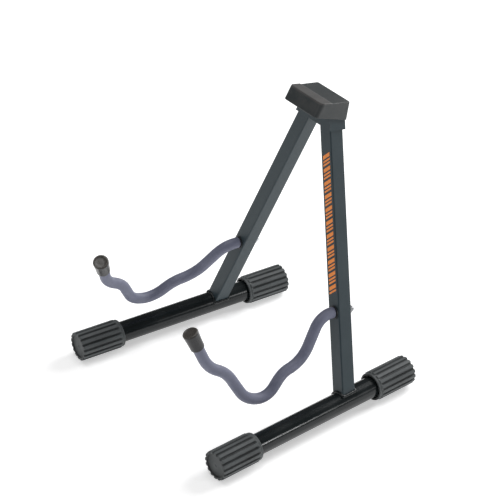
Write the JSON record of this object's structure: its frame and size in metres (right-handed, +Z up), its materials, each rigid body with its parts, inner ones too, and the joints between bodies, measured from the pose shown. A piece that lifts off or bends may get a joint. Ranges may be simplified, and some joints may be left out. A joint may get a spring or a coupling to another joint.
{
  "type": "folding guitar stand",
  "caption": "A-frame guitar stand: two folding legs on a hinge bracket with a back-rest cap, ribbed foot sleeves, and padded wavy arms that swivel in the legs.",
  "frame": {"origin": "on the floor, under the middle of the opened stand's bounding box", "axes": "+Z up; the guitar is put in from -Y and its back leans towards +Y; +X to the right of someone who faces the stand from the front"},
  "size_m": [0.378, 0.351, 0.416],
  "materials": {
    "charcoal_paint": "satin powder coat",
    "black_gloss_paint": "gloss paint",
    "sleeve_rubber": "matte moulded rubber",
    "cap_rubber": "matte moulded rubber",
    "foam_cover": "soft matte tube",
    "tip_rubber": "glossy rubber",
    "bush_plastic": "moulded",
    "plain_steel": "turned",
    "zinc_steel": "bright zinc plate"
  },
  "bodies": {
    "head": {"cap_screw": "zinc_steel", "head_bracket": "charcoal_paint", "left_pivot_bolt": "zinc_steel", "left_pivot_bush": "plain_steel", "left_pivot_nut": "zinc_steel", "left_pivot_washers": "zinc_steel", "rest_cap": "cap_rubber", "right_pivot_bolt": "zinc_steel", "right_pivot_bush": "plain_steel", "right_pivot_nut": "zinc_steel", "right_pivot_washers": "zinc_steel"},
    "left_arm": {"left_arm_cover": "foam_cover", "left_arm_nut": "zinc_steel", "left_arm_rod": "zinc_steel", "left_arm_tip_cap": "tip_rubber", "left_arm_washer": "zinc_steel"},
    "left_leg": {"left_foot_tube": "black_gloss_paint", "left_front_arm_bush": "bush_plastic", "left_front_foot_sleeve": "sleeve_rubber", "left_leg_tube": "charcoal_paint", "left_rear_arm_bush": "bush_plastic", "left_rear_foot_sleeve": "sleeve_rubber", "left_weld_bead": "black_gloss_paint"},
    "right_arm": {"right_arm_cover": "foam_cover", "right_arm_nut": "zinc_steel", "right_arm_rod": "zinc_steel", "right_arm_tip_cap": "tip_rubber", "right_arm_washer": "zinc_steel"},
    "right_leg": {"right_foot_tube": "black_gloss_paint", "right_front_arm_bush": "bush_plastic", "right_front_foot_sleeve": "sleeve_rubber", "right_leg_tube": "charcoal_paint", "right_rear_arm_bush": "bush_plastic", "right_rear_foot_sleeve": "sleeve_rubber", "right_weld_bead": "black_gloss_paint"}
  },
  "joints": [
    {"name": "left_leg_fold", "type": "hinge", "parent": "head", "child": "left_leg", "pos_m": [-0.015, 0.12943, 0.39259], "axis": [0, -0.9825, 0.1865], "range_deg": [0, 18.75]},
    {"name": "right_leg_fold", "type": "hinge", "parent": "head", "child": "right_leg", "pos_m": [0.015, 0.12943, 0.39259], "axis": [0, 0.9825, -0.1865], "range_deg": [0, 18.75]},
    {"name": "left_arm_swivel", "type": "hinge", "parent": "left_leg", "child": "left_arm", "pos_m": [-0.10991, 0.06998, 0.13845], "axis": [0, 0.9825, -0.1865], "range_deg": [0, 45]},
    {"name": "right_arm_swivel", "type": "hinge", "parent": "right_leg", "child": "right_arm", "pos_m": [0.10991, 0.06998, 0.13845], "axis": [0, -0.9825, 0.1865], "range_deg": [0, 60]}
  ]
}
